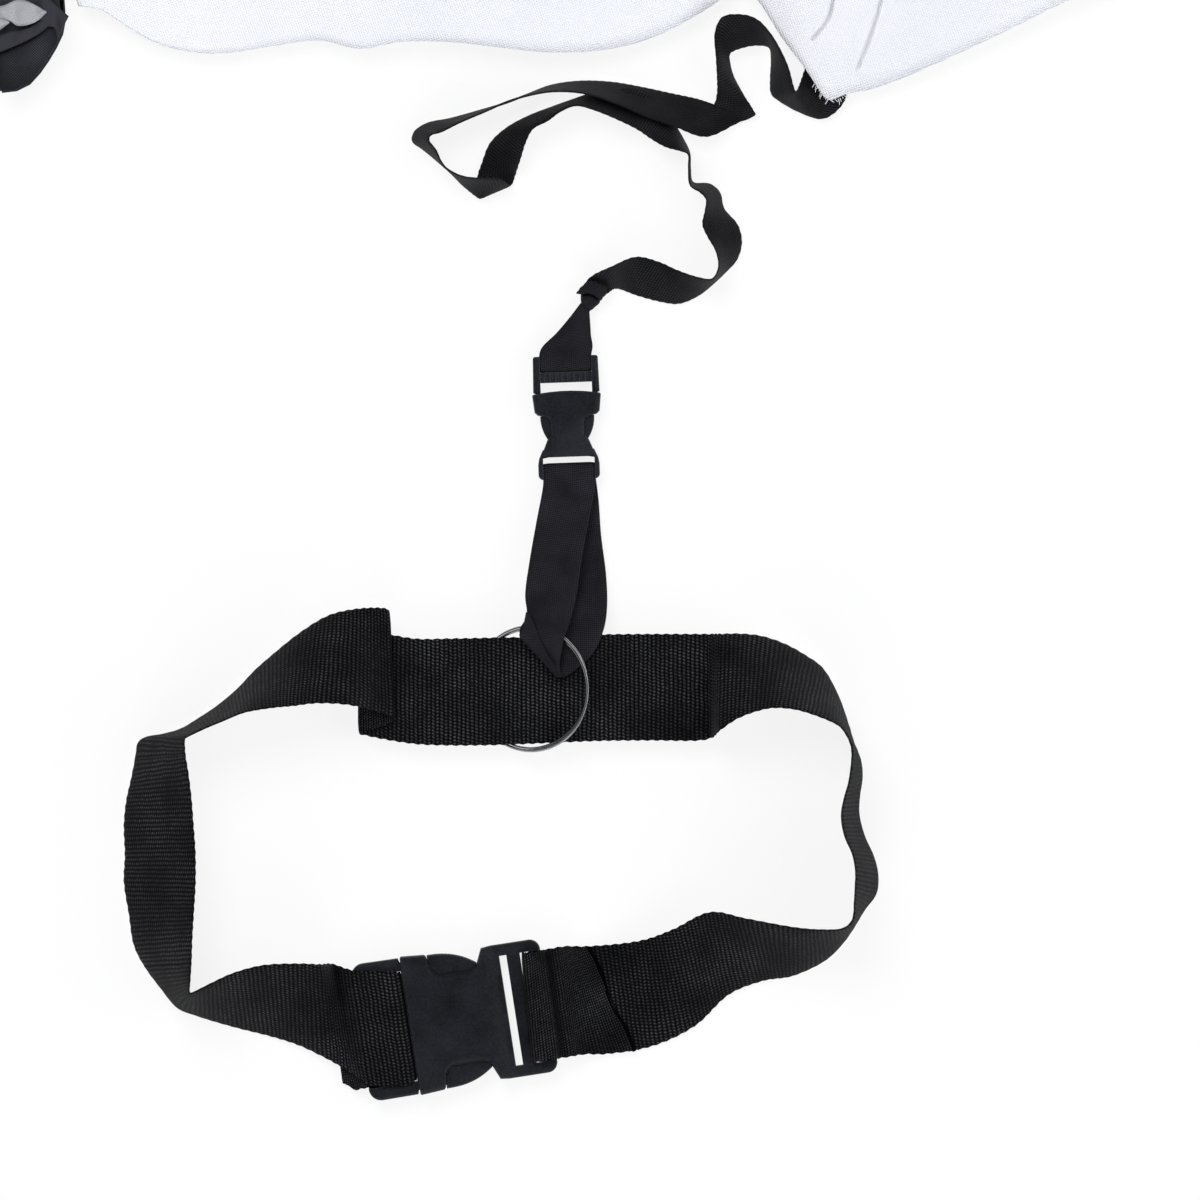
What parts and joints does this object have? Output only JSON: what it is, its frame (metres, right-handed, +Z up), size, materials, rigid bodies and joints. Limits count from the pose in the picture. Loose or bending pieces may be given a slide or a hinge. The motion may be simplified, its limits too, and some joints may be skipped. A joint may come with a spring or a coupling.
{
  "type": "speed parachute",
  "caption": "Resistance parachute for running: a buckled waist belt, a split ring, a quick-release strap, a leader strap and a folded square canopy with mesh panels.",
  "frame": {"origin": "the middle of the laid-out part's footprint, at floor level", "axes": "+Z up from the floor; +Y from the waist belt to the canopy's fold; +X to the right of someone looking from the belt to the canopy"},
  "size_m": [0.9259, 1.1504, 0.0519],
  "materials": {
    "black_webbing": "woven polypropylene webbing, matte black",
    "black_acetal": "moulded, satin black with a slight blue cast",
    "nickel_wire": "nickel plated spring wire",
    "white_mesh": "fine white polyester net",
    "black_nylon": "thin coated black nylon"
  },
  "bodies": {
    "sail": {"canopy": "black_nylon", "hem_front": "black_webbing", "hem_back": "black_webbing", "hem_left": "black_webbing", "hem_right": "black_webbing", "corner_patch_left": "black_webbing", "corner_patch_right": "black_webbing", "mesh_panel_front": "white_mesh", "mesh_panel_back": "white_mesh", "mesh_panel_left": "white_mesh", "mesh_panel_right": "white_mesh", "leader_strap": "black_webbing", "leader_knot": "black_webbing", "leader_tab": "black_webbing", "quick_buckle_frame": "black_acetal"},
    "quick_prong_a": {"quick_buckle_prong_a": "black_acetal"},
    "quick_prong_b": {"quick_buckle_prong_b": "black_acetal"},
    "connector": {"quick_buckle_shell": "black_acetal", "connector_strap": "black_webbing"},
    "ring": {"split_ring": "nickel_wire"},
    "belt": {"belt_webbing_back": "black_webbing", "belt_webbing_side": "black_webbing", "belt_buckle_shell": "black_acetal"},
    "belt_front": {"belt_webbing_front": "black_webbing", "belt_buckle_frame": "black_acetal"},
    "belt_prong_a": {"belt_buckle_prong_a": "black_acetal"},
    "belt_prong_b": {"belt_buckle_prong_b": "black_acetal"}
  },
  "joints": [
    {"name": "quick_prong_a_press", "type": "hinge", "parent": "sail", "child": "quick_prong_a", "pos_m": [-0.17138, -0.26866, 0.0058], "axis": [0, 0, -1], "range_deg": [0, 12], "stiffness_Nm_per_rad": 0.3},
    {"name": "quick_prong_b_press", "type": "hinge", "parent": "sail", "child": "quick_prong_b", "pos_m": [-0.19257, -0.2694, 0.0058], "axis": [0, 0, 1], "range_deg": [0, 12], "stiffness_Nm_per_rad": 0.3},
    {"name": "quick_release", "type": "slide", "parent": "sail", "child": "connector", "axis": [0.0349, -0.9994, 0], "range_m": [0, 0.026], "deforming": ["quick_buckle_prong_a", "quick_buckle_prong_b"]},
    {"name": "ring_swing", "type": "hinge", "parent": "connector", "child": "ring", "pos_m": [-0.19815, -0.39597, 0.0131], "axis": [0, 0, 1], "range_deg": [-3, 3]},
    {"name": "belt_slide", "type": "slide", "parent": "ring", "child": "belt", "axis": [1, 0, 0], "range_m": [-0.038, 0.024]},
    {"name": "belt_release", "type": "slide", "parent": "belt", "child": "belt_front", "axis": [-0.9914, -0.1305, 0], "range_m": [0, 0.036], "deforming": ["belt_buckle_prong_a", "belt_buckle_prong_b", "belt_webbing_side"]},
    {"name": "belt_prong_a_press", "type": "hinge", "parent": "belt_front", "child": "belt_prong_a", "pos_m": [-0.24924, -0.51991, 0.007], "axis": [0, 0, -1], "range_deg": [0, 12], "stiffness_Nm_per_rad": 0.6},
    {"name": "belt_prong_b_press", "type": "hinge", "parent": "belt_front", "child": "belt_prong_b", "pos_m": [-0.2431, -0.56651, 0.007], "axis": [0, 0, 1], "range_deg": [0, 12], "stiffness_Nm_per_rad": 0.6}
  ]
}
